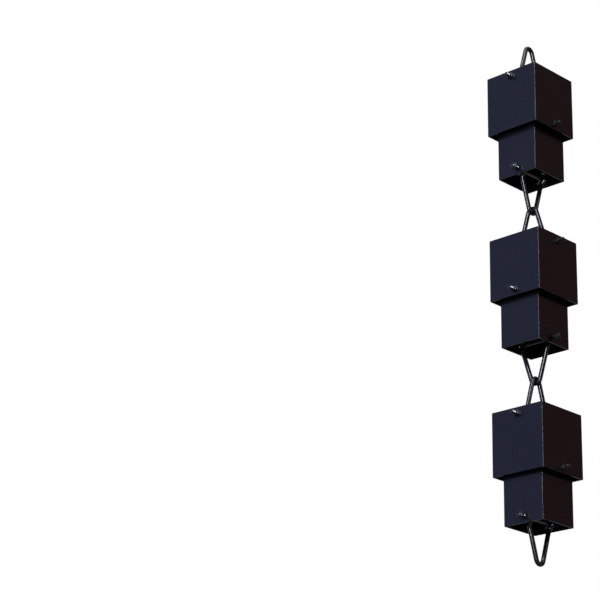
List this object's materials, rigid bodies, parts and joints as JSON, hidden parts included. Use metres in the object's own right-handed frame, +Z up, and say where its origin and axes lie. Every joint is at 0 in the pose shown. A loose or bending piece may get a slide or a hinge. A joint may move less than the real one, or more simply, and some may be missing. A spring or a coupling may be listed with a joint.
{
  "type": "rain chain",
  "caption": "Rain chain of open square-tube cups linked by wire bails on cross bolts, which leads water down from a gutter.",
  "frame": {"origin": "the point that the chain hangs from: the underside of the top bail's bend, on the chain's centre line", "axes": "+Z up along the hanging chain, X and Y along the cross bolts, square to the tubes' walls"},
  "size_m": [0.0935, 0.0935, 0.7113],
  "materials": {
    "powder_coat": "satin",
    "link_coat": "satin",
    "fastener_coat": "satin"
  },
  "bodies": {
    "hanging_link": {"cup_1_top_link": "link_coat"},
    "cup_1_upper": {"cup_1_upper_tube": "powder_coat", "cup_1_top_bolt": "fastener_coat", "cup_1_top_nut": "fastener_coat", "cup_1_middle_bolt": "fastener_coat", "cup_1_middle_nut": "fastener_coat"},
    "cup_1_lower": {"cup_1_lower_tube": "powder_coat", "cup_1_bottom_bolt": "fastener_coat", "cup_1_bottom_nut": "fastener_coat"},
    "cup_1_bottom_link": {"cup_1_bottom_link": "link_coat"},
    "cup_2_top_link": {"cup_2_top_link": "link_coat"},
    "cup_2_upper": {"cup_2_upper_tube": "powder_coat", "cup_2_top_bolt": "fastener_coat", "cup_2_top_nut": "fastener_coat", "cup_2_middle_bolt": "fastener_coat", "cup_2_middle_nut": "fastener_coat"},
    "cup_2_lower": {"cup_2_lower_tube": "powder_coat", "cup_2_bottom_bolt": "fastener_coat", "cup_2_bottom_nut": "fastener_coat"},
    "cup_2_bottom_link": {"cup_2_bottom_link": "link_coat"},
    "cup_3_top_link": {"cup_3_top_link": "link_coat"},
    "cup_3_upper": {"cup_3_upper_tube": "powder_coat", "cup_3_top_bolt": "fastener_coat", "cup_3_top_nut": "fastener_coat", "cup_3_middle_bolt": "fastener_coat", "cup_3_middle_nut": "fastener_coat"},
    "cup_3_lower": {"cup_3_lower_tube": "powder_coat", "cup_3_bottom_bolt": "fastener_coat", "cup_3_bottom_nut": "fastener_coat"},
    "cup_3_bottom_link": {"cup_3_bottom_link": "link_coat"}
  },
  "joints": [
    {"name": "cup_1_swing", "type": "hinge", "parent": "hanging_link", "child": "cup_1_upper", "pos_m": [0, 0, -0.05215], "axis": [0, 1, 0], "range_deg": [-73, 73]},
    {"name": "cup_1_lower_swing", "type": "hinge", "parent": "cup_1_upper", "child": "cup_1_lower", "pos_m": [0, 0, -0.12015], "axis": [1, 0, 0], "range_deg": [-27, 27]},
    {"name": "cup_1_link_swing", "type": "hinge", "parent": "cup_1_lower", "child": "cup_1_bottom_link", "pos_m": [0, 0, -0.18115], "axis": [0, -1, 0], "range_deg": [-66, 66]},
    {"name": "cup_2_hook", "type": "hinge", "parent": "cup_1_bottom_link", "child": "cup_2_top_link", "pos_m": [0, 0, -0.2363], "axis": [0, 1, 0], "range_deg": [-100, 100]},
    {"name": "cup_2_swing", "type": "hinge", "parent": "cup_2_top_link", "child": "cup_2_upper", "pos_m": [0, 0, -0.28515], "axis": [-1, 0, 0], "range_deg": [-73, 73]},
    {"name": "cup_2_lower_swing", "type": "hinge", "parent": "cup_2_upper", "child": "cup_2_lower", "pos_m": [0, 0, -0.35315], "axis": [0, -1, 0], "range_deg": [-27, 27]},
    {"name": "cup_2_link_swing", "type": "hinge", "parent": "cup_2_lower", "child": "cup_2_bottom_link", "pos_m": [0, 0, -0.41415], "axis": [1, 0, 0], "range_deg": [-66, 66]},
    {"name": "cup_3_hook", "type": "hinge", "parent": "cup_2_bottom_link", "child": "cup_3_top_link", "pos_m": [0, 0, -0.4693], "axis": [-1, 0, 0], "range_deg": [-100, 100]},
    {"name": "cup_3_swing", "type": "hinge", "parent": "cup_3_top_link", "child": "cup_3_upper", "pos_m": [0, 0, -0.51815], "axis": [0, 1, 0], "range_deg": [-73, 73]},
    {"name": "cup_3_lower_swing", "type": "hinge", "parent": "cup_3_upper", "child": "cup_3_lower", "pos_m": [0, 0, -0.58615], "axis": [1, 0, 0], "range_deg": [-27, 27]},
    {"name": "cup_3_link_swing", "type": "hinge", "parent": "cup_3_lower", "child": "cup_3_bottom_link", "pos_m": [0, 0, -0.64715], "axis": [0, -1, 0], "range_deg": [-66, 66]}
  ]
}
